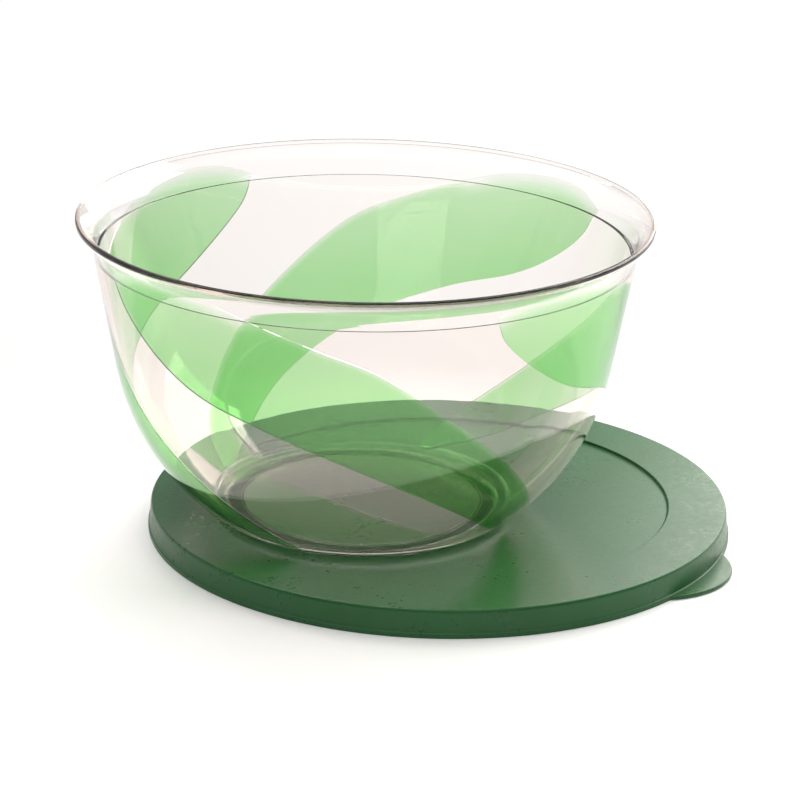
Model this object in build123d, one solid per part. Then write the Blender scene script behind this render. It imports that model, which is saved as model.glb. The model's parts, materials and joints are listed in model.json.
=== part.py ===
from build123d import *
import math
import os

# A clear salad bowl with four green swirls moulded into its wall, standing in the
# recess of its own flexible green storage lid.  Millimetres, +Z up.
# The origin is under the middle of the whole set, on the surface that it stands on.

os.makedirs("parts", exist_ok=True)

# ---- driving dimensions: bowl (heights are above the bowl's own foot) ------------
RIM_R = 130.0            # outside radius of the lip
BOWL_H = 139.6           # foot to lip
WALL = 3.0               # side wall
FLOOR = 3.6              # bottom of the bowl
FOOT_R = 62.5            # flat ring that the bowl stands on
FOOT_INNER_R = 56.0      # inside of that ring
FOOT_RECESS = 0.8        # the middle of the bottom is lifted by this much
WALL_LEAN = 10.4         # degrees: the upper wall leans out
BELLY_ARC_R = 106.0      # the one arc between the upper wall and the foot
BELLY_TOP = 70.0         # height where that arc meets the upper wall
BELLY_TOP_R = 112.3      # outside radius there
LEDGE_H = 124.3          # small step inside, below the flare
LEDGE_R = 120.6          # inside radius just above the step
FLARE_START = 127.0      # height where the wall starts to curve out into the lip
FLARE_BOW_OUT = 1.20     # bow of the flare's outside, which starts in line with the wall
FLARE_BOW_IN = 1.05      # bow of the flare's inside
LIP_H = 2.6              # height of the lip's outer edge, with its roundings
LIP_INNER_R = 127.5      # inner edge of the lip's top
LIP_DROP = 0.4           # the inner edge is lower than the lip's top by this much
LIP_ROUND = 0.8          # rounding of the lip's edges
FOOT_CORNER = 0.8        # bevel on the inside of the foot ring
FOOT_FILLET_H = 1.4      # height where the foot's corner meets the belly
FOOT_FILLET_BOW = 0.3
FLOOR_FILLET_H = 2.4     # the inside corner rises this far above the floor
FLOOR_FILLET_R = 6.0     # and reaches this far in over it
FLOOR_FILLET_BOW = 1.1
QUARTER_BOW = 0.29       # bow of a small corner rounding, as a share of its size

# ---- driving dimensions: the green swirls ----------------------------------------
WAVES = 4
WAVE_DEPTH = 1.4         # thickness of the green layer, on the outside of the wall
CREST_DEPTH = 0.8        # the layer thins to this at the flare
LAYER_LOW = 1.6          # height of the layer's bottom edge
LAYER_TUCK = 1.0         # the bottom edge is cut in under by this much
WAVE_MIDDLE = 62.0       # degrees from a swirl's start to its middle
WAVE_TILT = -22.0        # degrees: the middle is below the point they are cut towards
CAST_REACH = 150.0       # the cutting outline is drawn this far out
WAVE_START = -63.0       # degrees: where the first swirl's leading edge meets the flare
WAVE_APEX_H = 100.0      # the swirls' edges are cut towards this point on the axis
# Each edge as (degrees round from the start, height above the foot).
WAVE_LOWER = [(0, 127), (3.5, 113), (13, 97), (25, 84), (42, 73), (63, 56.5), (85, 34),
              (106, 13), (122, 4.2)]
WAVE_UPPER = [(131, 4.6), (124, 15), (110, 35), (97, 56.5), (83, 79), (67, 103), (54, 114.3),
              (39, 125.3)]
WAVE_TAIL = (127.5, 3.0)
WAVE_CREST = [(30, 130.3), (17, 133), (7, 131.8)]

# ---- driving dimensions: lid and pull tab ----------------------------------------
LID_SHIFT = (35.8, 7.2)  # the lid's centre, seen from the bowl's axis
LID_H = 12.6
LID_TOP_R = 133.4        # outside, at the top of the skirt
LID_FOOT_R = 134.4       # outside, at the bottom of the skirt
LID_WALL = 1.7
LID_HEM = 0.4            # the bottom of the skirt is thicker by this much
LID_HEM_H = 2.4
RECESS_R = 106.5         # the sunken middle panel
RECESS = 1.4
BEAD = 3.1               # the bead inside the skirt that snaps under the bowl's lip
BEAD_H = 4.4             # height of the bead's middle
BEAD_HALF = 2.6          # half the bead's height
SKIRT_STEPS = (0.1, 0.3) # the skirt's inside narrows by these below and above the bead
RECESS_SLOPE = 0.5       # the recess wall leans in by this much
HEM_SLOPE = (0.2, 0.4)   # bevel on top of the hem, across and down
EDGE_ROUND = 0.8

TAB_ANGLE = -29.3        # degrees round the lid
TAB_REACH = 145.6        # the tab's tip, from the lid's centre
TAB_ARC_R = 36.8         # the tab's outline
TAB_T = 1.8
TAB_LIFT = 0.2           # clear of the surface below
HINGE_R = 136.3          # the flex line, from the lid's centre
TAB_ROUND = 0.54         # rounding of the tab's edges
KNUCKLE_R = TAB_T / 2
KNUCKLE_END = 0.6        # the root stops short of the tab's sides by this much
HINGE_GAP = 0.3
BLADE_REACH = 40.0       # size of the block that the tab's blade is cut with
STRIP_W = 20.0           # width of the block that the land is cut with

# ---- where the two main pieces stand ---------------------------------------------
LID_OUT_R = LID_FOOT_R + LID_HEM
X_LOW, X_HIGH = -RIM_R, LID_SHIFT[0] + LID_OUT_R
Y_LOW, Y_HIGH = -RIM_R, LID_SHIFT[1] + LID_OUT_R
BOWL_X = -(X_LOW + X_HIGH) / 2
BOWL_Y = -(Y_LOW + Y_HIGH) / 2
LID_X = BOWL_X + LID_SHIFT[0]
LID_Y = BOWL_Y + LID_SHIFT[1]
PANEL_TOP = LID_H - RECESS          # the bowl's foot stands at this height


def lean_r(height):
    """Outside radius of the straight upper wall."""
    return BELLY_TOP_R + (height - BELLY_TOP) * math.tan(math.radians(WALL_LEAN))


LEAN_COS = math.cos(math.radians(WALL_LEAN))
LEAN_SIN = math.sin(math.radians(WALL_LEAN))
BELLY_C = (BELLY_TOP_R - BELLY_ARC_R * LEAN_COS, BELLY_TOP + BELLY_ARC_R * LEAN_SIN)


def wall_r(height, inset=0.0):
    """Radius of the bowl's wall at a height, inset from its outside."""
    if height >= BELLY_TOP + inset * LEAN_SIN:
        return lean_r(height) - inset / LEAN_COS
    radius = BELLY_ARC_R - inset
    return BELLY_C[0] + math.sqrt(radius ** 2 - (BELLY_C[1] - height) ** 2)


def belly_joint(inset):
    """The point where the belly's arc meets the straight wall."""
    return (BELLY_TOP_R - inset * LEAN_COS, BELLY_TOP + inset * LEAN_SIN)


def belly_mid(low_h, inset):
    """A point half way along the belly's arc, between low_h and the straight wall."""
    radius = BELLY_ARC_R - inset
    low = math.atan2(low_h - BELLY_C[1], wall_r(low_h, inset) - BELLY_C[0])
    high = math.radians(-WALL_LEAN)
    mid = (low + high) / 2
    return (BELLY_C[0] + radius * math.cos(mid), BELLY_C[1] + radius * math.sin(mid))


def bowed(start, end, bow):
    """An arc between two points that bows sideways by a given distance."""
    (x0, y0), (x1, y1) = start, end
    length = math.hypot(x1 - x0, y1 - y0)
    mid = ((x0 + x1) / 2 + (y1 - y0) / length * bow, (y0 + y1) / 2 - (x1 - x0) / length * bow)
    return ThreePointArc(start, mid, end)


def spun(edges):
    """A closed outline (radius, height) turned once round the Z axis."""
    face = make_face([Plane.XZ * edge for edge in edges])
    return revolve(face, Axis.Z)


def chain(*points):
    """Straight runs through the points."""
    return [Line(a, b) for a, b in zip(points[:-1], points[1:])]


# ---- bowl ------------------------------------------------------------------------
LIP_UNDER = BOWL_H - LIP_H
LIP_ROOT = (RIM_R - LIP_ROUND, LIP_UNDER)       # where the flare ends and the lip's edge begins
WALL_TOP = (lean_r(FLARE_START), FLARE_START)


def lip_edges():
    """The lip's outer edge and top, from the flare's outside to its inside."""
    side_low = (RIM_R, LIP_UNDER + LIP_ROUND)
    side_high = (RIM_R, BOWL_H - LIP_ROUND)
    top_out = (RIM_R - LIP_ROUND, BOWL_H)
    top_in = (LIP_INNER_R + LIP_ROUND, BOWL_H)
    lip_in = (LIP_INNER_R, BOWL_H - LIP_DROP)
    edges = [bowed(LIP_ROOT, side_low, LIP_ROUND * QUARTER_BOW / 2)]
    edges += [Line(side_low, side_high)]
    edges += [bowed(side_high, top_out, LIP_ROUND * QUARTER_BOW)]
    edges += [Line(top_out, top_in), bowed(top_in, lip_in, LIP_DROP * QUARTER_BOW / 2)]
    return edges, lip_in


def bowl_body():
    """The whole bowl, clear and green parts together."""
    foot_out = (FOOT_R, 0)
    belly_low = (wall_r(FOOT_FILLET_H), FOOT_FILLET_H)
    inner_h = FLOOR + FLOOR_FILLET_H
    inner_low = (wall_r(inner_h, WALL), inner_h)
    floor_edge = (inner_low[0] - FLOOR_FILLET_R, FLOOR)
    ledge_in = (wall_r(LEDGE_H, WALL), LEDGE_H)
    lean = math.tan(math.radians(WALL_LEAN))
    flare_in = (LEDGE_R + (FLARE_START - LEDGE_H) * lean, FLARE_START)
    lip, lip_in = lip_edges()
    edges = chain((0, FOOT_RECESS), (FOOT_INNER_R - FOOT_CORNER, FOOT_RECESS), (FOOT_INNER_R, 0),
                  foot_out)
    edges += [bowed(foot_out, belly_low, FOOT_FILLET_BOW)]
    edges += [ThreePointArc(belly_low, belly_mid(FOOT_FILLET_H, 0), belly_joint(0))]
    edges += [Line(belly_joint(0), WALL_TOP), bowed(WALL_TOP, LIP_ROOT, -FLARE_BOW_OUT)]
    edges += lip
    edges += [bowed(lip_in, flare_in, FLARE_BOW_IN)]
    edges += chain(flare_in, (LEDGE_R, LEDGE_H), ledge_in, belly_joint(WALL))
    edges += [ThreePointArc(belly_joint(WALL), belly_mid(inner_h, WALL), inner_low)]
    edges += [bowed(inner_low, floor_edge, FLOOR_FILLET_BOW)]
    edges += chain(floor_edge, (0, FLOOR), (0, FOOT_RECESS))
    return spun(edges)


def green_layer():
    """The outer layer of the wall, all round, that the swirls are cut from."""
    depth = WAVE_DEPTH
    out_low = (wall_r(LAYER_LOW), LAYER_LOW)
    in_low = (wall_r(LAYER_LOW, depth) - LAYER_TUCK, LAYER_LOW)
    in_top = (WALL_TOP[0] - CREST_DEPTH / LEAN_COS, FLARE_START)
    in_root = (LIP_ROOT[0] - CREST_DEPTH, LIP_UNDER)
    edges = [ThreePointArc(out_low, belly_mid(LAYER_LOW, 0), belly_joint(0))]
    edges += [Line(belly_joint(0), WALL_TOP), bowed(WALL_TOP, LIP_ROOT, -FLARE_BOW_OUT)]
    edges += [Line(LIP_ROOT, in_root), bowed(in_root, in_top, FLARE_BOW_OUT)]
    edges += [Line(in_top, belly_joint(depth))]
    edges += [ThreePointArc(belly_joint(depth), belly_mid(LAYER_LOW + LAYER_TUCK, depth), in_low)]
    edges += [Line(in_low, out_low)]
    return spun(edges)


def wave_cone():
    """A cone from a point on the axis through one swirl's outline."""
    middle = math.radians(WAVE_START + WAVE_MIDDLE)
    tilt = math.radians(WAVE_TILT)
    apex = Vector(0, 0, WAVE_APEX_H)
    aim = Vector(math.cos(middle) * math.cos(tilt), math.sin(middle) * math.cos(tilt), math.sin(tilt))

    def cast(turn, height):
        angle = math.radians(WAVE_START + turn)
        radius = wall_r(height)
        ray = Vector(radius * math.cos(angle), radius * math.sin(angle), height - WAVE_APEX_H)
        return apex + ray * (CAST_REACH / ray.dot(aim))

    lower = Spline([cast(*p) for p in WAVE_LOWER])
    tail = Spline([cast(*WAVE_LOWER[-1]), cast(*WAVE_TAIL), cast(*WAVE_UPPER[0])])
    upper = Spline([cast(*p) for p in WAVE_UPPER])
    crest = Spline([cast(*WAVE_UPPER[-1])] + [cast(*p) for p in WAVE_CREST] + [cast(*WAVE_LOWER[0])])
    outline = make_face([lower, tail, upper, crest])
    return loft([outline, Vertex(apex)])


# ---- lid -------------------------------------------------------------------------
def lid_body():
    """Skirt, raised border and sunken panel in one flexible moulding."""
    under = LID_H - LID_WALL
    panel_under = PANEL_TOP - LID_WALL
    skirt_in = LID_FOOT_R - LID_WALL
    neck_in = LID_TOP_R - LID_WALL
    hem_top = (LID_FOOT_R - HEM_SLOPE[0], LID_HEM_H)
    top_edge = (LID_TOP_R, LID_H - EDGE_ROUND)
    bead_low = (skirt_in - SKIRT_STEPS[0], BEAD_H - BEAD_HALF)
    bead_high = (skirt_in - SKIRT_STEPS[1], BEAD_H + BEAD_HALF)
    edges = chain((0, panel_under), (0, PANEL_TOP), (RECESS_R - RECESS_SLOPE, PANEL_TOP), (RECESS_R, LID_H),
                  (LID_TOP_R - EDGE_ROUND, LID_H))
    edges += [bowed((LID_TOP_R - EDGE_ROUND, LID_H), top_edge, -EDGE_ROUND * QUARTER_BOW)]
    edges += chain(top_edge, hem_top, (LID_OUT_R, LID_HEM_H - HEM_SLOPE[1]), (LID_OUT_R, 0),
                   (skirt_in, 0), bead_low)
    edges += [ThreePointArc(bead_low, (skirt_in - BEAD, BEAD_H), bead_high)]
    edges += chain(bead_high, (neck_in, under), (RECESS_R + LID_WALL, under),
                   (RECESS_R + LID_WALL - RECESS_SLOPE, panel_under), (0, panel_under))
    return spun(edges)


def tab_frame():
    """The place of the tab on the lid: X points out, Y along the flex line."""
    return Location((LID_X, LID_Y, 0), (0, 0, TAB_ANGLE))


def tab_outline():
    """The round outline of the tab, as a disc."""
    centre = TAB_REACH - TAB_ARC_R
    disc = Pos(centre, 0, TAB_LIFT + TAB_T / 2) * Cylinder(TAB_ARC_R, TAB_T)
    rim = disc.edges().filter_by(GeomType.CIRCLE)
    return fillet(rim, TAB_ROUND)


def tab_land():
    """The narrow strip of the lid that the tab bends from."""
    edge = HINGE_R - KNUCKLE_R - HINGE_GAP
    strip = Pos(edge - STRIP_W / 2, 0, 0) * Box(STRIP_W, 4 * TAB_ARC_R, 2 * LID_H)
    inside = Cylinder(LID_FOOT_R - LID_WALL / 2, 2 * LID_H)
    return (tab_outline() & strip) - inside


def tab_body():
    """The crescent that is pulled up, with a round root at the flex line."""
    height = TAB_LIFT + TAB_T / 2
    outer = Pos(HINGE_R + BLADE_REACH / 2, 0, 0) * Box(BLADE_REACH, 4 * TAB_ARC_R, 2 * LID_H)
    blade = tab_outline() & outer
    half = math.sqrt(TAB_ARC_R ** 2 - (HINGE_R - TAB_REACH + TAB_ARC_R) ** 2) - KNUCKLE_END
    root = Pos(HINGE_R, 0, height) * Rot(90, 0, 0) * Cylinder(KNUCKLE_R, 2 * half)
    return blade + root


# ---- assembly --------------------------------------------------------------------
def write(name, shape):
    shape.label = name
    export_step(shape, "parts/" + name + ".step")


stand = Pos(BOWL_X, BOWL_Y, PANEL_TOP)
first_wave = green_layer() & wave_cone()
shell = bowl_body()
for index in range(WAVES):
    wave = Rot(0, 0, index * 360 / WAVES) * first_wave
    shell = shell - wave
    write("green_wave_" + str(index + 1), stand * wave)
write("bowl_shell", stand * shell)

lid = Pos(LID_X, LID_Y, 0) * lid_body() + tab_frame() * tab_land()
write("storage_lid", lid)
write("pull_tab", tab_frame() * tab_body())

hinge = tab_frame() * Pos(HINGE_R, 0, TAB_LIFT + TAB_T / 2)
print("bowl axis", round(BOWL_X, 3), round(BOWL_Y, 3), "foot height", round(PANEL_TOP, 3))
print("lid axis", round(LID_X, 3), round(LID_Y, 3))
print("flex line", [round(v, 3) for v in hinge.position])
print("wave volume", round(first_wave.volume, 1), "solids", len(first_wave.solids()))
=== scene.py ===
import json
import math

import bpy
import numpy as np
from mathutils import Matrix, Vector
from mathutils.geometry import delaunay_2d_cdt


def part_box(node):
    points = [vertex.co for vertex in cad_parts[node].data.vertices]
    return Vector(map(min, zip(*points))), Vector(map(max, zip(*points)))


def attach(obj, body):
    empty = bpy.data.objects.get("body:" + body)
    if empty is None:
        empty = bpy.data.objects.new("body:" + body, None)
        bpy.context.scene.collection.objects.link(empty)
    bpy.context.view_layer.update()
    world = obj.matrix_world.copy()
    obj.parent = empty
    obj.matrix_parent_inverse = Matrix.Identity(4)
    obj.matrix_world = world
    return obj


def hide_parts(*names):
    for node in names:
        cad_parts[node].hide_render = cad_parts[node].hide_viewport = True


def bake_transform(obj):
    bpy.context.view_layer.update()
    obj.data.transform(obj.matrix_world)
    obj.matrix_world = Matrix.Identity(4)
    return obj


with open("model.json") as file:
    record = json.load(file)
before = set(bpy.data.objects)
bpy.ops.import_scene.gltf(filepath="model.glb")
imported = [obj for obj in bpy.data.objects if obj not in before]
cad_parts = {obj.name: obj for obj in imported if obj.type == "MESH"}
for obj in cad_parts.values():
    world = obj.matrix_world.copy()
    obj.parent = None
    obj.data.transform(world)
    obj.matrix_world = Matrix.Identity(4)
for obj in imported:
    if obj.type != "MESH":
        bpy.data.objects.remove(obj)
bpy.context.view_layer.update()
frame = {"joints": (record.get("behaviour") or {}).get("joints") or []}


# ---- where things are, from the frame --------------------------------------------
MM = 0.001
bowl_low, bowl_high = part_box("bowl_shell")
lid_low, lid_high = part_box("storage_lid")
BOWL_AT = Vector(((bowl_low.x + bowl_high.x) / 2, (bowl_low.y + bowl_high.y) / 2, bowl_low.z))
LID_AT = Vector(((lid_low.x + lid_high.x) / 2, (lid_low.y + lid_high.y) / 2, lid_low.z))
TAB_JOINT = next(j for j in frame["joints"] if j["name"] == "tab_flex")

# ---- bowl, in millimetres from its own foot and axis -----------------------------
RIM_R = 130.0
BOWL_H = 139.6
WALL = 3.0
FLOOR = 3.6
FOOT_R = 62.5
FOOT_INNER_R = 56.0
FOOT_RECESS = 0.8
WALL_LEAN = math.radians(10.4)
BELLY_R = 106.0
BELLY_TOP = (112.3, 70.0)
LEDGE_H = 124.3
LEDGE_R = 120.6
FLARE_START = 127.0
FLARE_BOW_OUT = 1.20
FLARE_BOW_IN = 1.05
LIP_H = 2.6
LIP_INNER_R = 127.5
LIP_DROP = 0.4
LIP_ROUND = 0.8
BELLY_LOW = 1.4
LIP_SIDE_BOW = 0.12
LIP_TOP_BOW = 0.23
LIP_INNER_BOW = 0.06
FLOOR_CURVE_H = 2.4      # height, width and bow of the curve between floor and wall
FLOOR_CURVE_W = 6.0
FLOOR_CURVE_BOW = 1.1
FOOT_BOW = 0.3
WALL_ROUND = 2.0         # rounds at the corners of each outline
BOWL_ROUND = 0.25
FOOT_ROUND = 0.4
SECTORS = 4
TURN_STEPS = 360         # columns round the bowl and the lid
GRID_STEP = 2.3          # spacing of the wall's mesh
CORNER_COS = 0.9995      # outlines that meet at a sharper turn than this get a round
WELD_DIGITS = 5          # points that agree to this many decimals are one point

# ---- green swirls: (degrees round from the start, height) ------------------------
WAVE_START = -63.0
WAVE_DEPTH = 1.4
CREST_DEPTH = 0.8
WAVE_GAP = 0.03
WAVE_STEP = 1.5          # spacing of the points on a swirl's edge
CREST_FADE = (0.1, 9.0)  # share of the depth that is left at the edge, and the fade's width
UPPER_FADE = (0.35, 3.5)
WAVE_LOWER = [(0, 127), (3.5, 113), (13, 97), (25, 84), (42, 73), (63, 56.5), (85, 34),
              (106, 13), (122, 4.2)]
WAVE_TAIL = [(122, 4.2), (127.5, 3.0), (131, 4.6)]
WAVE_UPPER = [(131, 4.6), (124, 15), (110, 35), (97, 56.5), (83, 79), (67, 103), (54, 114.3),
              (39, 125.3)]
WAVE_CREST = [(39, 125.3), (30, 130.3), (17, 133), (7, 131.8), (0, 127)]

# ---- lid and tab, in millimetres -------------------------------------------------
LID_H = 12.6
LID_TOP_R = 133.4
LID_FOOT_R = 134.4
LID_WALL = 1.7
LID_HEM = 0.4
LID_HEM_H = 2.4
RECESS_R = 106.5
RECESS = 1.4
BEAD_H = 4.4
BEAD_HALF = 2.6
BEAD_BOW = 0.95          # as a share of half the bead
BEAD_ENDS = (0.1, 0.3)   # how far its low and high ends stand in from the skirt
UNDER_SLOPE = 0.5        # width of the step's slope on the lid's underside
STEP_OUT = 0.1           # how far its slope on top reaches either side of the recess's edge
STEP_IN = 0.3
HEM_SLOPE = (0.2, 0.4)   # width and height of the slope above the hem
TOP_INSET = 0.05         # the border starts this far in from the skirt's top
TOP_CUT = 1.2            # length of skirt that makes way for the round at its top
SKIRT_ROUND = 0.3        # rounds at the lid's corners, from the outside in
TOP_ROUND = 0.9
STEP_ROUND = 0.35
PANEL_ROUND = 0.6
TAB_REACH = 145.6
TAB_ARC_R = 36.8
TAB_T = 1.8
TAB_LIFT = 0.2
TAB_ROOT_IN = 0.7        # how far the tab reaches into the skirt's wall
TAB_TIP_SHARE = 0.999    # the tips stop just short of where the two arcs meet
TAB_EDGE_SHARE = 0.45    # most of the tab's width that its round edge may take


# ---- outlines: rows of (radius, height, normal out, normal up) -------------------
def line(start, end, steps=1):
    start, end = np.array(start, float), np.array(end, float)
    along = (end - start) / np.linalg.norm(end - start)
    share = np.linspace(0, 1, steps + 1)[:, None]
    points = start + (end - start) * share
    return np.hstack([points, np.tile([along[1], -along[0]], (steps + 1, 1))])


def arc(centre, radius, first, last, steps):
    """Runs from one angle to another; the outside is away from the centre if last > first."""
    angle = np.linspace(first, last, steps + 1)
    way = np.column_stack([np.cos(angle), np.sin(angle)])
    side = 1 if last > first else -1
    return np.hstack([np.array(centre) + radius * way, side * way])


def bowed(start, end, bow, steps):
    """An arc between two points, bowed to its right by a distance."""
    start, end = np.array(start, float), np.array(end, float)
    chord = end - start
    half = np.linalg.norm(chord) / 2
    right = np.array([chord[1], -chord[0]]) / (2 * half)
    radius = (half ** 2 + bow ** 2) / (2 * abs(bow))
    side = 1 if bow > 0 else -1
    centre = (start + end) / 2 - right * side * (radius - abs(bow))
    first = math.atan2(start[1] - centre[1], start[0] - centre[0])
    last = math.atan2(end[1] - centre[1], end[0] - centre[0])
    turn = (last - first + math.pi) % (2 * math.pi) - math.pi
    return arc(centre, radius, first, first + turn, steps)


def trimmed(rows, cut, at_end):
    """The rows without the last (or first) stretch of the given length."""
    rows = rows[::-1] if at_end else rows
    gaps = np.linalg.norm(np.diff(rows[:, :2], axis=0), axis=1)
    cut = min(cut, 0.45 * gaps.sum())
    done = np.concatenate([[0], np.cumsum(gaps)])
    keep = int(np.searchsorted(done, cut, side="right"))
    share = (cut - done[keep - 1]) / gaps[keep - 1]
    first = rows[keep - 1] + (rows[keep] - rows[keep - 1]) * share
    first[2:] /= np.linalg.norm(first[2:])
    rows = np.vstack([first, rows[keep:]])
    return rows[::-1] if at_end else rows


def softened(pieces, radius, steps=5):
    """Joins stretches end to end, with a small round where they meet at a corner."""
    rows = pieces[0]
    for piece in pieces[1:]:
        turn = rows[-1, 2:] @ piece[0, 2:]
        if turn < CORNER_COS:
            rows = trimmed(rows, radius, True)
            piece = trimmed(piece, radius, False)
            a, c = rows[-1, :2], piece[0, :2]
            da = np.array([-rows[-1, 3], rows[-1, 2]])
            dc = np.array([-piece[0, 3], piece[0, 2]])
            cross = da[0] * dc[1] - da[1] * dc[0]
            reach = ((c - a)[0] * dc[1] - (c - a)[1] * dc[0]) / cross
            b = a + da * reach
            t = np.linspace(0, 1, steps + 1)[1:-1, None]
            points = (1 - t) ** 2 * a + 2 * t * (1 - t) * b + t ** 2 * c
            slope = 2 * (1 - t) * (b - a) + 2 * t * (c - b)
            slope /= np.linalg.norm(slope, axis=1, keepdims=True)
            rows = np.vstack([rows, np.column_stack([points, slope[:, 1], -slope[:, 0]]), piece])
        else:
            rows = np.vstack([rows, piece[1:]])
    return rows


# ---- meshes ----------------------------------------------------------------------
class Skin:
    """Faces with their own corner normals, welded where they meet."""

    def __init__(self):
        self.points, self.faces, self.normals, self.looks, self.count = [], [], [], [], 0

    def add(self, points, normals, faces, look=0):
        """points and normals are rows; faces index them; look numbers their material."""
        points, normals = np.asarray(points, float), np.asarray(normals, float)
        self.points.append(points)
        for face in faces:
            self.faces.append([i + self.count for i in face])
            self.looks.append(look)
            self.normals.extend(normals[i] for i in face)
        self.count += len(points)

    def build(self, name, origin):
        points = np.vstack(self.points)
        _, first, back = np.unique(np.round(points, WELD_DIGITS), axis=0,
                                   return_index=True, return_inverse=True)
        back = back.reshape(-1)
        points = points[first] * MM + np.array(origin)
        mesh = bpy.data.meshes.new(name)
        mesh.from_pydata(points.tolist(), [], [[int(back[i]) for i in face] for face in self.faces])
        mesh.polygons.foreach_set("use_smooth", [True] * len(mesh.polygons))
        mesh.polygons.foreach_set("material_index", self.looks)
        mesh.normals_split_custom_set([tuple(n) for n in self.normals])
        mesh.update()
        piece = bpy.data.objects.new(name, mesh)
        bpy.context.scene.collection.objects.link(piece)
        return piece


def turned(skin, rows, phase=0.0, steps=TURN_STEPS):
    """Turns an outline round the Z axis into a skin."""
    angle = np.radians(phase + np.arange(steps) * 360 / steps)
    cos, sin = np.cos(angle), np.sin(angle)
    points, normals, index = [], [], []
    for radius, height, out, up in rows:
        start = len(points)
        if radius < 1e-6:
            points.append((0, 0, height))
            normals.append((0, 0, up))
            index.append([start] * steps)
            continue
        points.extend(zip(radius * cos, radius * sin, [height] * steps))
        normals.extend(zip(out * cos, out * sin, [up] * steps))
        index.append(list(range(start, start + steps)))
    faces = []
    for a, b in zip(index[:-1], index[1:]):
        for j in range(steps):
            k = (j + 1) % steps
            corners = [a[j], a[k], b[k], b[j]]
            faces.append([c for n, c in enumerate(corners) if c not in corners[:n]])
    skin.add(points, normals, faces)


# ---- bowl ------------------------------------------------------------------------
LEAN = np.array([math.cos(WALL_LEAN), math.sin(WALL_LEAN)])
BELLY_C = (BELLY_TOP[0] - BELLY_R * LEAN[0], BELLY_TOP[1] + BELLY_R * LEAN[1])
LIP_UNDER = BOWL_H - LIP_H
LIP_ROOT = (RIM_R - LIP_ROUND, LIP_UNDER)


def belly_angle(height, radius):
    return math.asin((height - BELLY_C[1]) / radius)


def lean_r(height, inset=0.0):
    return BELLY_TOP[0] + (height - BELLY_TOP[1]) * math.tan(WALL_LEAN) - inset / LEAN[0]


def outer_wall():
    """The wall that carries the swirls, from the foot's corner to the lip."""
    belly = arc(BELLY_C, BELLY_R, belly_angle(BELLY_LOW, BELLY_R), -WALL_LEAN, 60)
    wall_top = (lean_r(FLARE_START), FLARE_START)
    wall = line(BELLY_TOP, wall_top, 30)
    flare = bowed(wall_top, LIP_ROOT, -FLARE_BOW_OUT, 14)
    return softened([belly, wall, flare], WALL_ROUND)


OUTER = outer_wall()
RUN = np.concatenate([[0], np.cumsum(np.linalg.norm(np.diff(OUTER[:, :2], axis=0), axis=1))])
SHEAR = 118.0            # degrees that a sector's edge turns from foot to lip, beside the swirls
SECTOR_END = 175.0


def run_of(height):
    """Distance along the wall at a height."""
    return np.interp(height, OUTER[:, 1], RUN)


def height_of(run):
    return np.interp(run, RUN, OUTER[:, 1])


def slant(run):
    """Degrees from the first swirl's start to its sector's end, at a place on the wall."""
    share = (height_of(run) - BELLY_LOW) / (LIP_UNDER - BELLY_LOW)
    return SECTOR_END - SHEAR * share


def on_wall(turn, run, depth=0.0):
    """Points and normals on the wall, turn in degrees from the swirl's start."""
    radius, height = np.interp(run, RUN, OUTER[:, 0]), np.interp(run, RUN, OUTER[:, 1])
    out, up = np.interp(run, RUN, OUTER[:, 2]), np.interp(run, RUN, OUTER[:, 3])
    size = np.hypot(out, up)
    out, up = out / size, up / size
    angle = np.radians(WAVE_START + turn)
    cos, sin = np.cos(angle), np.sin(angle)
    radius, height = radius - depth * out, height - depth * up
    points = np.column_stack([radius * cos, radius * sin, height])
    return points, np.column_stack([out * cos, out * sin, up])


def smooth_line(points, step):
    """A Catmull-Rom curve through points given as (turn, height), evenly stepped in mm."""
    pts = np.array([(turn, float(run_of(height))) for turn, height in points])
    ends = np.vstack([2 * pts[0] - pts[1], pts, 2 * pts[-1] - pts[-2]])
    fine = []
    for p0, p1, p2, p3 in zip(ends, ends[1:], ends[2:], ends[3:]):
        t = np.linspace(0, 1, 25)[:-1, None]
        fine.append(0.5 * (2 * p1 + (p2 - p0) * t + (2 * p0 - 5 * p1 + 4 * p2 - p3) * t ** 2
                           + (3 * p1 - p0 - 3 * p2 + p3) * t ** 3))
    fine = np.vstack(fine + [pts[-1:]])
    wide = np.interp(fine[:, 1], RUN, OUTER[:, 0]) * math.pi / 180
    size = np.hypot(np.diff(fine[:, 0]) * (wide[1:] + wide[:-1]) / 2, np.diff(fine[:, 1]))
    along = np.concatenate([[0], np.cumsum(size)])
    count = max(2, int(round(along[-1] / step)))
    place = np.linspace(0, along[-1], count + 1)
    return np.column_stack([np.interp(place, along, fine[:, 0]), np.interp(place, along, fine[:, 1])])


def wave_outline():
    """The swirl's edge as one closed loop of (turn, run), counter-clockwise."""
    parts = [smooth_line(points, WAVE_STEP) for points in (WAVE_LOWER, WAVE_TAIL, WAVE_UPPER, WAVE_CREST)]
    return np.vstack([part[:-1] for part in parts])


def shifted(loop, amount):
    """The loop moved outwards by a distance in mm."""
    wide = np.interp(loop[:, 1], RUN, OUTER[:, 0]) * math.pi / 180
    ahead = np.roll(loop, -1, axis=0) - np.roll(loop, 1, axis=0)
    dx, dy = ahead[:, 0] * wide, ahead[:, 1]
    size = np.hypot(dx, dy)
    side = np.column_stack([dy / size, -dx / size])
    return loop + np.column_stack([side[:, 0] / wide, side[:, 1]]) * amount, side


def inside(points, loop):
    """Which points are within a closed loop."""
    x, y = points[:, 0], points[:, 1]
    found = np.zeros(len(points), bool)
    for (x0, y0), (x1, y1) in zip(loop, np.roll(loop, -1, axis=0)):
        if y0 == y1:
            continue
        hit = ((y0 > y) != (y1 > y)) & (x < (x1 - x0) * (y - y0) / (y1 - y0) + x0)
        found ^= hit
    return found


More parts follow.
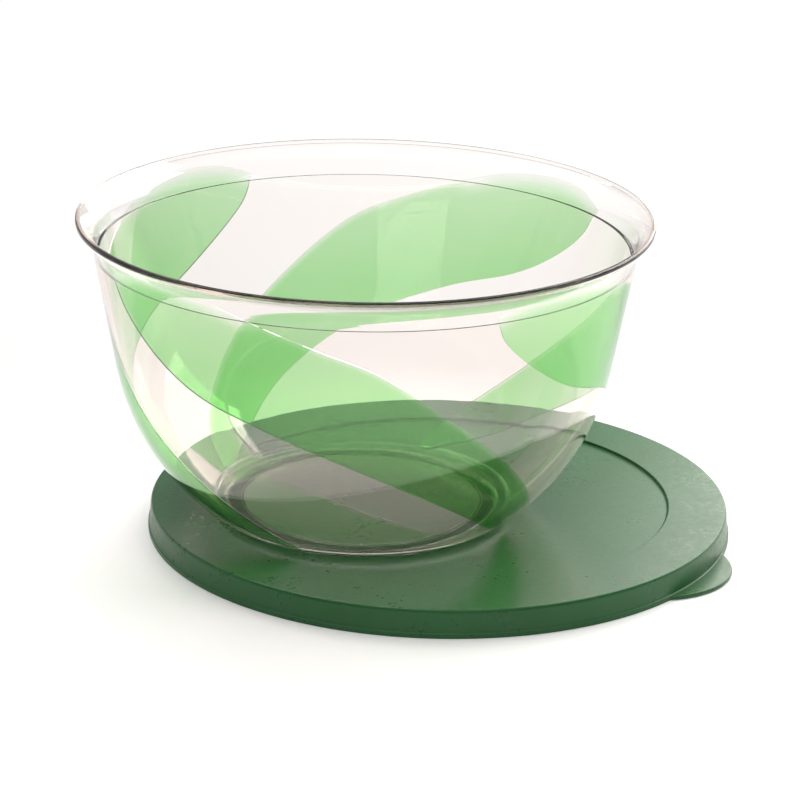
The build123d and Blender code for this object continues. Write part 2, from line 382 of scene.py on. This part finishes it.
def nearest(points, others):
    """Distance from each point to the nearest of the others."""
    best = np.full(len(points), np.inf)
    for start in range(0, len(points), 2000):
        part = points[start:start + 2000]
        gap = np.linalg.norm(part[:, None, :] - others[None, :, :], axis=2)
        best[start:start + 2000] = gap.min(axis=1)
    return best


CHART_TURN = 2.0         # chart millimetres for each degree
CLEAR_OF_SWIRL = 1.1     # grid points nearer than this to an edge are left out
CLEAR_OF_EDGE = 1.0


def wall_sector():
    """One quarter of the wall as triangles in a flat chart, split at the swirl's edge."""
    steps = TURN_STEPS // SECTORS
    loop = wave_outline()

    def to_chart(places):
        return np.column_stack([(places[:, 0] - slant(places[:, 1])) * CHART_TURN, places[:, 1]])

    chart_loop = to_chart(loop)
    columns = (np.arange(steps + 1) - steps) * CHART_TURN
    rows = np.linspace(0, RUN[-1], int(round(RUN[-1] / GRID_STEP)) + 1)
    edge = [(x, 0.0) for x in columns] + [(0.0, y) for y in rows[1:]]
    edge += [(x, RUN[-1]) for x in columns[-2::-1]] + [(columns[0], y) for y in rows[-2:0:-1]]
    edge = np.array(edge)
    grid = []
    for n, y in enumerate(rows[1:-1]):
        shift = 0.5 * CHART_TURN * (n % 2)
        grid.extend((x + shift, y) for x in columns[1:-1])
    grid = np.array(grid)
    near_swirl = nearest(grid, chart_loop) <= CLEAR_OF_SWIRL
    near_edge = nearest(grid, edge) <= CLEAR_OF_EDGE
    grid = grid[~near_swirl & ~near_edge]
    points = np.vstack([edge, chart_loop, grid])
    count, size = len(edge), len(chart_loop)
    links = [(i, (i + 1) % count) for i in range(count)]
    links += [(count + i, count + (i + 1) % size) for i in range(size)]
    verts, _, faces, _, _, _ = delaunay_2d_cdt([Vector(p) for p in points], links, [], 0, 1e-6)
    verts = np.array([tuple(v) for v in verts])
    faces = np.array([list(f) for f in faces])
    green = inside(verts[faces].mean(axis=1), chart_loop)
    places = np.column_stack([verts[:, 0] / CHART_TURN + slant(verts[:, 1]), verts[:, 1]])
    return places, faces, green, loop


def outline_index(places, loop):
    """Which of the places are the loop's own points, in the loop's order."""
    return [int(np.argmin(np.abs(places - point).sum(axis=1))) for point in loop]


def fade(places, points, least, reach):
    """Grows smoothly from the least share on a swirl's edge to 1 at a distance from it."""
    chart = np.array([CHART_TURN, 1.0])
    edge = smooth_line(points, WAVE_STEP)
    share = np.clip(nearest(places * chart, edge * chart) / reach, 0, 1)
    return least + (1 - least) * (share * share * (3 - 2 * share))


def wave_depth(places):
    """The green layer thins out under the lip, and a little along its upper edge."""
    crest = fade(places, WAVE_CREST, *CREST_FADE)
    upper = fade(places, WAVE_UPPER, *UPPER_FADE)
    rise = np.clip((height_of(places[:, 1]) - BELLY_TOP[1]) / (FLARE_START - BELLY_TOP[1]), 0, 1)
    depth = WAVE_DEPTH + (CREST_DEPTH - WAVE_DEPTH) * rise
    return depth * crest * upper


PLACES, TRIANGLES, IS_GREEN, LOOP = wall_sector()
LOOP_AT = outline_index(PLACES, LOOP)
DEPTHS = wave_depth(PLACES)


def layer(skin, places, faces, depth, turn, flip):
    """Adds wall triangles at a depth below the surface, turned by a number of degrees."""
    points, normals = on_wall(places[:, 0] + turn, places[:, 1], depth)
    used = np.unique(faces)
    back = np.full(len(places), -1)
    back[used] = np.arange(len(used))
    faces = back[faces]
    if flip:
        faces, normals = faces[:, ::-1], -normals
    skin.add(points[used], normals[used], faces.tolist())


def edge_band(skin, loop, depth, side, turn, facing, look=0):
    """The thin wall between a loop on the surface and the same loop at a depth."""
    top, out = on_wall(loop[:, 0] + turn, loop[:, 1])
    low, _ = on_wall(loop[:, 0] + turn, loop[:, 1], depth)
    angle = np.radians(WAVE_START + loop[:, 0] + turn)
    round_way = np.column_stack([-np.sin(angle), np.cos(angle), np.zeros(len(angle))])
    up_way = np.cross(out, round_way)
    normals = facing * (side[:, :1] * round_way + side[:, 1:] * up_way)
    size = len(top)
    faces = []
    for i in range(size):
        j = (i + 1) % size
        faces.append([i, i + size, j + size, j] if facing > 0 else [i, j, j + size, i + size])
    skin.add(np.vstack([top, low]), np.vstack([normals, normals]), faces, look)


def bowl_shell():
    """The clear bowl, with a pocket in its wall for each swirl."""
    skin = Skin()
    wide_loop, side = shifted(LOOP, WAVE_GAP / 2)
    places = PLACES.copy()
    places[LOOP_AT] = wide_loop
    pocket = DEPTHS + WAVE_GAP
    for k in range(SECTORS):
        turn = 360 / SECTORS * k
        layer(skin, places, TRIANGLES[~IS_GREEN], 0.0, turn, False)
        layer(skin, places, TRIANGLES[IS_GREEN], pocket, turn, False)
        edge_band(skin, wide_loop, pocket[LOOP_AT], side, turn, -1)
    low_in = FLOOR + FLOOR_CURVE_H
    inner_r = BELLY_R - WALL
    belly_in = arc(BELLY_C, inner_r, -WALL_LEAN, belly_angle(low_in, inner_r), 48)
    ledge_in = (lean_r(LEDGE_H, WALL), LEDGE_H)
    side_low, side_high = (RIM_R, LIP_UNDER + LIP_ROUND), (RIM_R, BOWL_H - LIP_ROUND)
    top_out, top_in = (RIM_R - LIP_ROUND, BOWL_H), (LIP_INNER_R + LIP_ROUND, BOWL_H)
    lip_in = (LIP_INNER_R, BOWL_H - LIP_DROP)
    flare_in = (LEDGE_R + (FLARE_START - LEDGE_H) * math.tan(WALL_LEAN), FLARE_START)
    floor_edge = (belly_in[-1, 0] - FLOOR_CURVE_W, FLOOR)
    outline = softened([
        bowed(LIP_ROOT, side_low, LIP_SIDE_BOW, 4),
        line(side_low, side_high, 2),
        bowed(side_high, top_out, LIP_TOP_BOW, 5),
        line(top_out, top_in, 2),
        bowed(top_in, lip_in, LIP_INNER_BOW, 3),
        bowed(lip_in, flare_in, FLARE_BOW_IN, 18),
        line(flare_in, (LEDGE_R, LEDGE_H), 2),
        line((LEDGE_R, LEDGE_H), ledge_in),
        line(ledge_in, (belly_in[0, 0], belly_in[0, 1]), 24),
        belly_in,
        bowed(belly_in[-1, :2], floor_edge, -FLOOR_CURVE_BOW, 8),
        line(floor_edge, (0, FLOOR), 14)], BOWL_ROUND)
    turned(skin, outline, WAVE_START + SECTOR_END)
    recess_edge = (FOOT_INNER_R - FOOT_RECESS, FOOT_RECESS)
    foot = softened([
        line((0, FOOT_RECESS), recess_edge, 10),
        line(recess_edge, (FOOT_INNER_R, 0)),
        line((FOOT_INNER_R, 0), (FOOT_R, 0), 2),
        bowed((FOOT_R, 0), OUTER[0, :2], FOOT_BOW, 6)], FOOT_ROUND)
    turned(skin, foot, WAVE_START + SECTOR_END)
    return skin.build("bowl_clear", BOWL_AT)


def wave(k):
    """One green swirl that fills its pocket."""
    skin = Skin()
    tight_loop, side = shifted(LOOP, -WAVE_GAP / 2)
    places = PLACES.copy()
    places[LOOP_AT] = tight_loop
    turn = 360 / SECTORS * k
    layer(skin, places, TRIANGLES[IS_GREEN], 0.0, turn, False)
    layer(skin, places, TRIANGLES[IS_GREEN], DEPTHS, turn, True)
    # look 1 puts the painted-shade dark green material on the edge band
    edge_band(skin, tight_loop, DEPTHS[LOOP_AT], side, turn, 1, look=1)
    return skin.build("green_swirl_" + str(k + 1), BOWL_AT)


# ---- lid -------------------------------------------------------------------------
def skirt_outline():
    """The lid's underside and skirt, from the middle of the panel to the skirt's top."""
    under = LID_H - LID_WALL
    panel_under = LID_H - RECESS - LID_WALL
    under_step = (RECESS_R + LID_WALL - UNDER_SLOPE, panel_under)
    out_r = LID_FOOT_R + LID_HEM
    skirt_in = LID_FOOT_R - LID_WALL
    bead_low = (skirt_in - BEAD_ENDS[0], BEAD_H - BEAD_HALF)
    bead_high = (skirt_in - BEAD_ENDS[1], BEAD_H + BEAD_HALF)
    hem_side = (out_r, LID_HEM_H - HEM_SLOPE[1])
    hem_top = (LID_FOOT_R - HEM_SLOPE[0], LID_HEM_H)
    return softened([
        line((0, panel_under), under_step, 30),
        line(under_step, (RECESS_R + LID_WALL, under)),
        line((RECESS_R + LID_WALL, under), (LID_TOP_R - LID_WALL, under), 6),
        line((LID_TOP_R - LID_WALL, under), bead_high, 2),
        bowed(bead_high, bead_low, BEAD_HALF * BEAD_BOW, 12),
        line(bead_low, (skirt_in, 0)),
        line((skirt_in, 0), (out_r, 0)),
        line((out_r, 0), hem_side),
        line(hem_side, hem_top),
        line(hem_top, (LID_TOP_R, LID_H), 3)], SKIRT_ROUND)


def top_outline():
    """The border, the step and the sunken panel, from the skirt's top to the middle."""
    panel_top = LID_H - RECESS
    step_high, step_low = (RECESS_R + STEP_OUT, LID_H), (RECESS_R - STEP_IN, panel_top)
    border = line((LID_TOP_R - TOP_INSET, LID_H), step_high, 10)
    return border, line(step_high, step_low), line(step_low, (0, panel_top), 40)


def lid_panel():
    """Skirt, border and sunken panel as one turned skin."""
    border, step, panel = top_outline()
    rows = softened([trimmed(skirt_outline(), TOP_CUT, True), border], TOP_ROUND, 8)
    rows = softened([rows, step], STEP_ROUND, 5)
    rows = softened([rows, panel], PANEL_ROUND, 6)
    skin = Skin()
    turned(skin, rows)
    return skin.build("lid_skirt_and_panel", LID_AT)


def tab_axes():
    """Origin at the lid's centre; the tab points along the first axis."""
    hinge = Vector(TAB_JOINT["pos_m"])
    away = Vector((hinge.x - LID_AT.x, hinge.y - LID_AT.y, 0))
    out = away.normalized()
    return out, Vector((-out.y, out.x, 0)), away.length


def pull_tab():
    """The crescent tab, from inside the skirt's wall to its round edge."""
    out, along, _ = tab_axes()
    root_r = LID_FOOT_R - TAB_ROOT_IN
    centre = TAB_REACH - TAB_ARC_R
    meet = (root_r ** 2 - TAB_ARC_R ** 2 + centre ** 2) / (2 * centre)
    half = math.sqrt(root_r ** 2 - meet ** 2)
    round_steps, blade_steps, columns = 8, 14, 96
    skin = Skin()
    points, normals = [], []
    for n in range(columns + 1):
        y = half * math.sin(math.pi / 2 * (2 * n / columns - 1)) * TAB_TIP_SHARE
        x0 = math.sqrt(root_r ** 2 - y ** 2)
        x1 = centre + math.sqrt(TAB_ARC_R ** 2 - y ** 2)
        edge = min(TAB_T / 2, (x1 - x0) * TAB_EDGE_SHARE)
        low, high = TAB_LIFT, TAB_LIFT + TAB_T
        mid = (low + high) / 2
        section = [(x0 + (x1 - edge - x0) * i / blade_steps, low, 0, -1) for i in range(blade_steps + 1)]
        for i in range(1, round_steps):
            a = -math.pi / 2 + math.pi * i / round_steps
            section.append((x1 - edge + edge * math.cos(a), mid + TAB_T / 2 * math.sin(a),
                            math.cos(a), math.sin(a)))
        section += [(x0 + (x1 - edge - x0) * (1 - i / blade_steps), high, 0, 1)
                    for i in range(blade_steps + 1)]
        way = Vector((math.sqrt(TAB_ARC_R ** 2 - y ** 2), y, 0)).normalized()
        for x, z, side, up in section:
            place = out * x + along * y
            points.append((place.x, place.y, z))
            face = (out * way.x + along * way.y) * side
            normals.append((face.x, face.y, up))
    size = len(points) // (columns + 1)
    faces = []
    for n in range(columns):
        for i in range(size):
            j = (i + 1) % size
            a, b = n * size, (n + 1) * size
            faces.append([a + i, b + i, b + j, a + j])
    last = columns * size
    tips = [list(range(size)), list(range(last, last + size))[::-1]]
    skin.add(points, normals, faces + tips)
    return skin.build("lid_pull_tab", LID_AT)


# ---- materials -------------------------------------------------------------------
def new_material(name):
    material = bpy.data.materials.new(name)
    material.use_nodes = True
    nodes = material.node_tree.nodes
    nodes.clear()
    out = nodes.new("ShaderNodeOutputMaterial")
    shader = nodes.new("ShaderNodeBsdfPrincipled")
    material.node_tree.links.new(shader.outputs["BSDF"], out.inputs["Surface"])
    return material, shader, out


def add(material, kind, **values):
    node = material.node_tree.nodes.new(kind)
    for key, value in values.items():
        setattr(node, key, value)
    return node


def link(material, source, target):
    material.node_tree.links.new(source, target)


def noise(material, coords, scale, detail, rough=0.5):
    node = add(material, "ShaderNodeTexNoise")
    node.inputs["Scale"].default_value = scale
    node.inputs["Detail"].default_value = detail
    node.inputs["Roughness"].default_value = rough
    link(material, coords, node.inputs["Vector"])
    return node.outputs["Fac"]


def ranged(material, value, low, high, new_low, new_high):
    node = add(material, "ShaderNodeMapRange")
    node.inputs["From Min"].default_value = low
    node.inputs["From Max"].default_value = high
    node.inputs["To Min"].default_value = new_low
    node.inputs["To Max"].default_value = new_high
    link(material, value, node.inputs["Value"])
    return node.outputs["Result"]


def object_coords(material, stretch=(1, 1, 1)):
    coords = add(material, "ShaderNodeTexCoord")
    mapping = add(material, "ShaderNodeMapping")
    mapping.inputs["Scale"].default_value = stretch
    link(material, coords.outputs["Object"], mapping.inputs["Vector"])
    return mapping.outputs["Vector"]


def bump(material, height, strength, distance, normal=None):
    node = add(material, "ShaderNodeBump")
    node.inputs["Strength"].default_value = strength
    node.inputs["Distance"].default_value = distance
    link(material, height, node.inputs["Height"])
    if normal is not None:
        link(material, normal, node.inputs["Normal"])
    return node.outputs["Normal"]


def clear_plastic(name, absorb, density):
    """Polished rigid plastic that is seen through; depth gives it its colour."""
    material, shader, out = new_material(name)
    coords = object_coords(material, (1, 1, 2.5))
    shader.inputs["Base Color"].default_value = (1, 1, 1, 1)
    shader.inputs["Transmission Weight"].default_value = 1.0
    shader.inputs["IOR"].default_value = 1.52
    smears = noise(material, coords, 9.0, 4, 0.6)
    link(material, ranged(material, smears, 0.45, 0.75, 0.0, 0.03), shader.inputs["Roughness"])
    flow = noise(material, coords, 26.0, 2, 0.5)
    link(material, bump(material, flow, 0.06, 0.0006), shader.inputs["Normal"])
    depth = add(material, "ShaderNodeVolumeAbsorption")
    depth.inputs["Color"].default_value = (*absorb, 1)
    depth.inputs["Density"].default_value = density
    link(material, depth.outputs["Volume"], out.inputs["Volume"])
    return material


def swirl_edge():
    """The band round a swirl's edge, painted opaque dark green: painted shade that stands in for how dark
    the green looks where light runs deep through it.
    """
    material, shader, _ = new_material("green_edge_painted_shade")
    coords = object_coords(material)
    depth = noise(material, coords, 120.0, 3, 0.5)
    # Painted shade: the edge band's two dark greens stand in for the darkness that light gets going deep
    # through the green; noise mixes them at random.
    tone = add(material, "ShaderNodeMix", data_type="RGBA")
    link(material, ranged(material, depth, 0.35, 0.65, 0, 1), tone.inputs["Factor"])
    tone.inputs["A"].default_value = (0.03, 0.20, 0.05, 1)
    tone.inputs["B"].default_value = (0.05, 0.27, 0.07, 1)
    link(material, tone.outputs["Result"], shader.inputs["Base Color"])
    link(material, ranged(material, depth, 0.3, 0.7, 0.3, 0.5), shader.inputs["Roughness"])
    return material


def lid_plastic():
    """Soft satin plastic, slightly uneven in tone, shine and flatness.

    The noise on its roughness also shows up as small dark specks in the render.
    """
    material, shader, _ = new_material("lid_green_satin")
    coords = object_coords(material)
    cloud = noise(material, coords, 14.0, 5, 0.6)
    tone = add(material, "ShaderNodeMix", data_type="RGBA")
    link(material, ranged(material, cloud, 0.3, 0.7, 0, 1), tone.inputs["Factor"])
    tone.inputs["A"].default_value = (0.012, 0.088, 0.021, 1)
    tone.inputs["B"].default_value = (0.016, 0.106, 0.027, 1)
    link(material, tone.outputs["Result"], shader.inputs["Base Color"])
    worn = noise(material, object_coords(material, (1, 1.4, 1)), 34.0, 6, 0.65)
    grain = noise(material, coords, 420.0, 1, 0.4)
    rough = add(material, "ShaderNodeMath", operation="ADD")
    link(material, ranged(material, worn, 0.3, 0.7, 0.29, 0.36), rough.inputs[0])
    link(material, ranged(material, grain, 0.35, 0.65, -0.04, 0.04), rough.inputs[1])
    link(material, rough.outputs[0], shader.inputs["Roughness"])
    sag = noise(material, coords, 16.0, 2, 0.5)
    wavy = bump(material, sag, 0.10, 0.0012)
    link(material, bump(material, grain, 0.16, 0.00012, wavy), shader.inputs["Normal"])
    shader.inputs["IOR"].default_value = 1.5
    shader.inputs["Specular IOR Level"].default_value = 0.33
    return material


FLOOR_GLOW = (0.04, 0.72)   # the sheet's own light, in front of the object and behind it
FLOOR_WHITE = (0.97, 0.16)  # how much it takes from the lamps, in front and behind
FLOOR_FAR = 1.10            # its own light grows by this much further back
FLOOR_TURN = (-0.06, 0.22)  # from here to there, along Y, front values become back values
FLOOR_FAR_FROM = (0.5, 1.5)  # where along Y it does so
# painted light: the values below shape the pool of light painted on the sheet
FLOOR_SIDES = (0.42, 0.85)  # distance to the side over which it fades to the share below
FLOOR_SIDE_SHARE = 0.25
FLOOR_WIDENING = 0.25       # how much further out that is for each metre back
FLOOR_FRONT = (-0.8, -0.42)  # the same along Y, in front
FLOOR_FRONT_SHARE = 0.3
FLOOR_R = 12
FLOOR_DROP = 0.0001         # keeps the sheet just clear of the lid's foot


def floor_material():
    """A white sheet with painted light: it glows on its own, and its glow and colour make a painted pool
    of light, even where the object stands and less so out to the sides.
    """
    material, shader, _ = new_material("pale_floor_and_painted_light")
    shader.inputs["Roughness"].default_value = 1.0
    shader.inputs["Specular IOR Level"].default_value = 0.0
    coords = add(material, "ShaderNodeTexCoord")
    split = add(material, "ShaderNodeSeparateXYZ")
    link(material, coords.outputs["Object"], split.inputs[0])

    def maths(operation, first, second):
        node = add(material, "ShaderNodeMath", operation=operation)
        for socket, value in zip(node.inputs, (first, second)):
            if isinstance(value, float):
                socket.default_value = value
            else:
                link(material, value, socket)
        return node.outputs[0]

    # Painted light: the sheet glows on its own, little in front of the object and much more behind it,
    # and both its glow and its colour fade towards the sides and the front as a painted pool of light.
    side = maths("ABSOLUTE", split.outputs["X"], 0.0)
    widening = maths("MULTIPLY", maths("MAXIMUM", split.outputs["Y"], 0.0), FLOOR_WIDENING)
    across = ranged(material, maths("SUBTRACT", side, widening), *FLOOR_SIDES, 1.0, FLOOR_SIDE_SHARE)
    along = ranged(material, split.outputs["Y"], *FLOOR_FRONT, FLOOR_FRONT_SHARE, 1.0)
    painted_light_pool = maths("MULTIPLY", across, along)
    behind = ranged(material, split.outputs["Y"], *FLOOR_TURN, *FLOOR_GLOW)
    far = ranged(material, split.outputs["Y"], *FLOOR_FAR_FROM, 1.0, FLOOR_FAR)
    white = ranged(material, split.outputs["Y"], *FLOOR_TURN, *FLOOR_WHITE)
    link(material, maths("MULTIPLY", white, painted_light_pool), shader.inputs["Base Color"])
    # painted light: the sheet's own glow
    shader.inputs["Emission Color"].default_value = (1, 1, 1, 1)
    link(material, maths("MULTIPLY", maths("MULTIPLY", behind, far), painted_light_pool),
         shader.inputs["Emission Strength"])
    return material


# ---- surroundings ----------------------------------------------------------------
def make_floor():
    bpy.ops.mesh.primitive_circle_add(vertices=96, radius=FLOOR_R, fill_type="NGON",
                                      location=(0, 0, 0))
    floor = bpy.context.object
    floor.name = "floor"
    floor.location.z = -FLOOR_DROP
    floor.data.materials.append(floor_material())


def make_world():
    """A studio: bright behind and above, dimmer at the sides and on the camera's side."""
    world = bpy.data.worlds.new("studio")
    bpy.context.scene.world = world
    world.use_nodes = True
    tree = world.node_tree
    tree.nodes.clear()
    out = tree.nodes.new("ShaderNodeOutputWorld")
    back = tree.nodes.new("ShaderNodeBackground")
    coords = tree.nodes.new("ShaderNodeTexCoord")
    split = tree.nodes.new("ShaderNodeSeparateXYZ")
    tree.links.new(coords.outputs["Generated"], split.inputs[0])

    def glow(axis, low, high, low_value, high_value):
        node = tree.nodes.new("ShaderNodeMapRange")
        node.interpolation_type = "SMOOTHSTEP"
        node.inputs["From Min"].default_value = low
        node.inputs["From Max"].default_value = high
        node.inputs["To Min"].default_value = low_value
        node.inputs["To Max"].default_value = high_value
        tree.links.new(split.outputs[axis], node.inputs["Value"])
        return node.outputs["Result"]

    total = tree.nodes.new("ShaderNodeMath")
    total.operation = "ADD"
    tree.links.new(glow("Y", -0.1, 0.75, 0.26, 0.60), total.inputs[0])
    tree.links.new(glow("Z", 0.5, 0.95, 0.0, 1.35), total.inputs[1])
    tree.links.new(total.outputs[0], back.inputs["Strength"])
    back.inputs["Color"].default_value = (1, 0.99, 0.975, 1)
    tree.links.new(back.outputs[0], out.inputs["Surface"])


def area_light(name, place, aim, size, power, mirrored=True):
    data = bpy.data.lights.new(name, "AREA")
    data.color = (1, 0.96, 0.92)
    data.shape = "RECTANGLE"
    data.size, data.size_y = size
    data.energy = power
    lamp = bpy.data.objects.new(name, data)
    lamp.location = place
    lamp.rotation_euler = (Vector(aim) - Vector(place)).to_track_quat("-Z", "Y").to_euler()
    lamp.visible_glossy = mirrored
    bpy.context.scene.collection.objects.link(lamp)


CAMERA_DISTANCE = 1.4718    # metres from a pivot on the bowl's axis
CAMERA_RISE = 0.3323        # radians above level, seen from the pivot
CAMERA_PIVOT_H = 0.080
CAMERA_AIM = (0.0168, -0.0054, 0.0644)  # across and along from the axis, and height
CAMERA_ROLL = 0.0193
CAMERA_LENS = 145.26


def make_camera():
    """The viewing angle, worked out from the bowl's place."""
    aim = Vector((BOWL_AT.x + CAMERA_AIM[0], BOWL_AT.y + CAMERA_AIM[1], CAMERA_AIM[2]))
    place = Vector((BOWL_AT.x, BOWL_AT.y - CAMERA_DISTANCE * math.cos(CAMERA_RISE),
                    CAMERA_PIVOT_H + CAMERA_DISTANCE * math.sin(CAMERA_RISE)))
    forward = (aim - place).normalized()
    right = forward.cross(Vector((0, 0, 1))).normalized()
    up = right.cross(forward)
    cos, sin = math.cos(CAMERA_ROLL), math.sin(CAMERA_ROLL)
    right, up = cos * right + sin * up, -sin * right + cos * up
    turn = Matrix((right, up, -forward)).transposed().to_4x4()
    data = bpy.data.cameras.new("camera")
    data.sensor_width = 36
    data.lens = CAMERA_LENS
    data.clip_end = 50
    camera = bpy.data.objects.new("camera", data)
    camera.matrix_world = Matrix.Translation(place) @ turn
    bpy.context.scene.collection.objects.link(camera)
    bpy.context.scene.camera = camera


# ---- the object ------------------------------------------------------------------
def finish_piece(piece, material, body, nodes):
    piece.data.materials.append(material)
    if body:
        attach(piece, body)
    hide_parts(*nodes)


clear = clear_plastic("clear_polished", (0.80, 0.48, 0.32), 44.0)
green = clear_plastic("green_polished", (0.16, 0.76, 0.03), 740.0)
# painted shade: the dark material for each swirl's edge band
edge_painted_shade = swirl_edge()
satin = lid_plastic()

finish_piece(bowl_shell(), clear, "bowl", ["bowl_shell"])
for number in range(SECTORS):
    swirl = wave(number)
    finish_piece(swirl, green, "bowl", ["green_wave_" + str(number + 1)])
    swirl.data.materials.append(edge_painted_shade)
finish_piece(lid_panel(), satin, "lid", ["storage_lid"])

tab = pull_tab()
finish_piece(tab, satin, None, ["pull_tab"])
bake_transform(tab)

make_floor()
make_world()
area_light("top_soft", (-0.2, 0.9, 1.3), (0, 0, 0), (1.2, 0.8), 12, mirrored=False)
area_light("back_right_soft", (0.58, 0.62, 0.50), (0.1, 0, 0), (1.0, 0.75), 10)
make_camera()

scene = bpy.context.scene
scene.view_settings.view_transform = "Standard"
scene.cycles.max_bounces = 24
scene.cycles.transmission_bounces = 24
scene.cycles.glossy_bounces = 8
scene.cycles.diffuse_bounces = 4
scene.cycles.caustics_refractive = True
scene.cycles.caustics_reflective = False
scene.cycles.use_denoising = True
